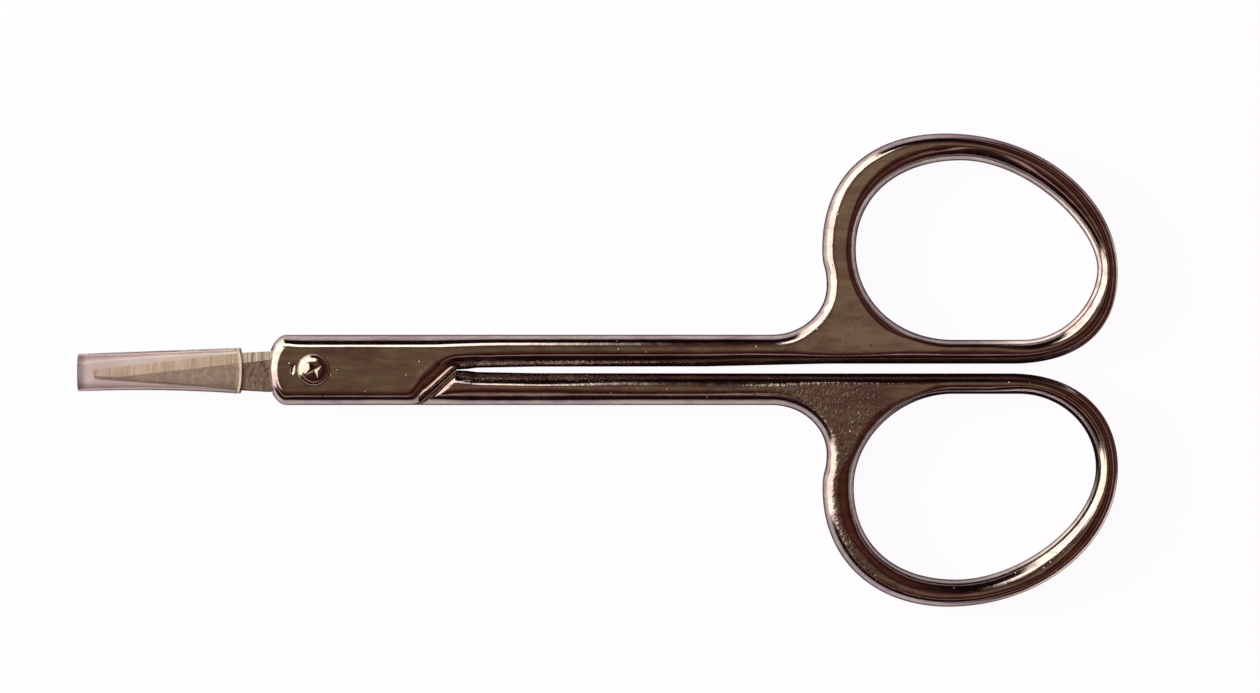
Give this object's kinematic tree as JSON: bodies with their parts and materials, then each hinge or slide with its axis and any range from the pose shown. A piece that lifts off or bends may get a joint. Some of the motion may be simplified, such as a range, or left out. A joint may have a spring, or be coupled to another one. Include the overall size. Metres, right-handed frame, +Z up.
{
  "type": "nail scissors",
  "caption": "Nail scissors with ringed handles, a lapped boss on a screw pivot and a clear guard tube over the tips.",
  "frame": {"origin": "centre of the base of the closed scissors and guard as they lie flat", "axes": "+X from the guarded tips towards the finger rings; +Y towards the finger ring of the front half; +Z up through the thickness, towards the screw's head"},
  "size_m": [0.1014, 0.0462, 0.0039],
  "materials": {
    "plated_metal": "polished nickel plate, warm grey",
    "blade_steel": "satin, ground across the blade",
    "screw_metal": "polished, darker than the handles",
    "clear_plastic": "clear soft plastic with a pink-grey tint"
  },
  "bodies": {
    "rear_half": {"rear_handle": "plated_metal", "rear_blade": "blade_steel", "pivot_screw": "screw_metal"},
    "front_half": {"front_handle": "plated_metal", "front_blade": "blade_steel"},
    "tip_guard": {"tip_guard": "clear_plastic"}
  },
  "joints": [
    {"name": "blade_hinge", "type": "hinge", "parent": "rear_half", "child": "front_half", "pos_m": [-0.0276, 0, 0], "axis": [0, 0, 1], "range_deg": [0, 60]},
    {"name": "guard_slide", "type": "slide", "parent": "rear_half", "child": "tip_guard", "axis": [-0.9924, -0.1233, 0], "range_m": [0, 0.112]}
  ],
  "couplings": [
    {"joint": "guard_slide", "follows": "blade_hinge", "m_per_rad": 0.105}
  ]
}
